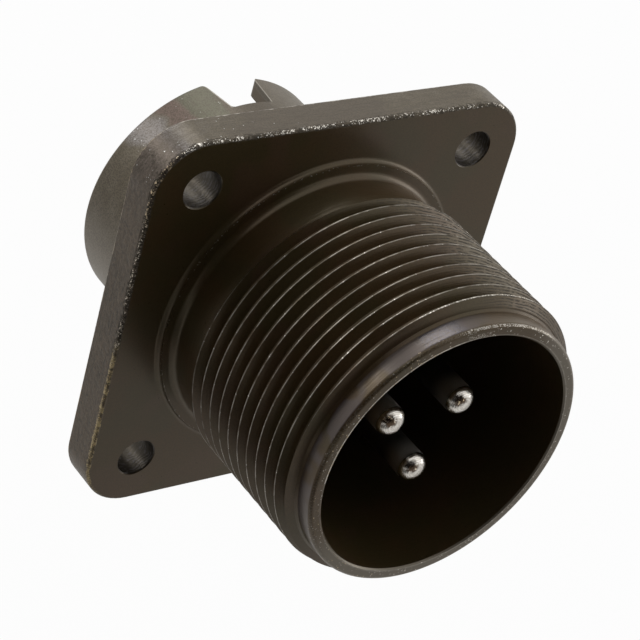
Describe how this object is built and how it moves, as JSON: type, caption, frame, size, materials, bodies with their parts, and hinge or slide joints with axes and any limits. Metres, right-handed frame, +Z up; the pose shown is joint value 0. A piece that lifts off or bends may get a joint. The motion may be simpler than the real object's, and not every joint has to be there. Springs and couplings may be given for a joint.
{
  "type": "circular connector",
  "caption": "Square-flange circular receptacle: a threaded shell with a keyed mouth and silver pin contacts, screwed to a panel to take a cable plug.",
  "frame": {"origin": "on the connector's axis, in the plane of the flange's rear face, at the centre of its four screw holes", "axes": "+Y along the connector's axis towards the rear, so the mouth opens towards -Y; +Z up through the flange's top edge and the rear barrel's notch; +X to the right as the mouth is seen from the front"},
  "size_m": [0.0332, 0.0345, 0.0328],
  "materials": {
    "plated_shell": "olive-brown chromate over plating, satin, bare at worn edges",
    "insulator": "black moulded resin, satin",
    "silver_contact": "silver plate over copper alloy, turned",
    "spring_steel": "plain spring steel"
  },
  "bodies": {
    "root": {"shell": "plated_shell", "front_insulator": "insulator", "rear_insulator": "insulator", "contact_a": "silver_contact", "contact_b": "silver_contact", "contact_c": "silver_contact", "retaining_ring": "spring_steel"}
  },
  "joints": []
}
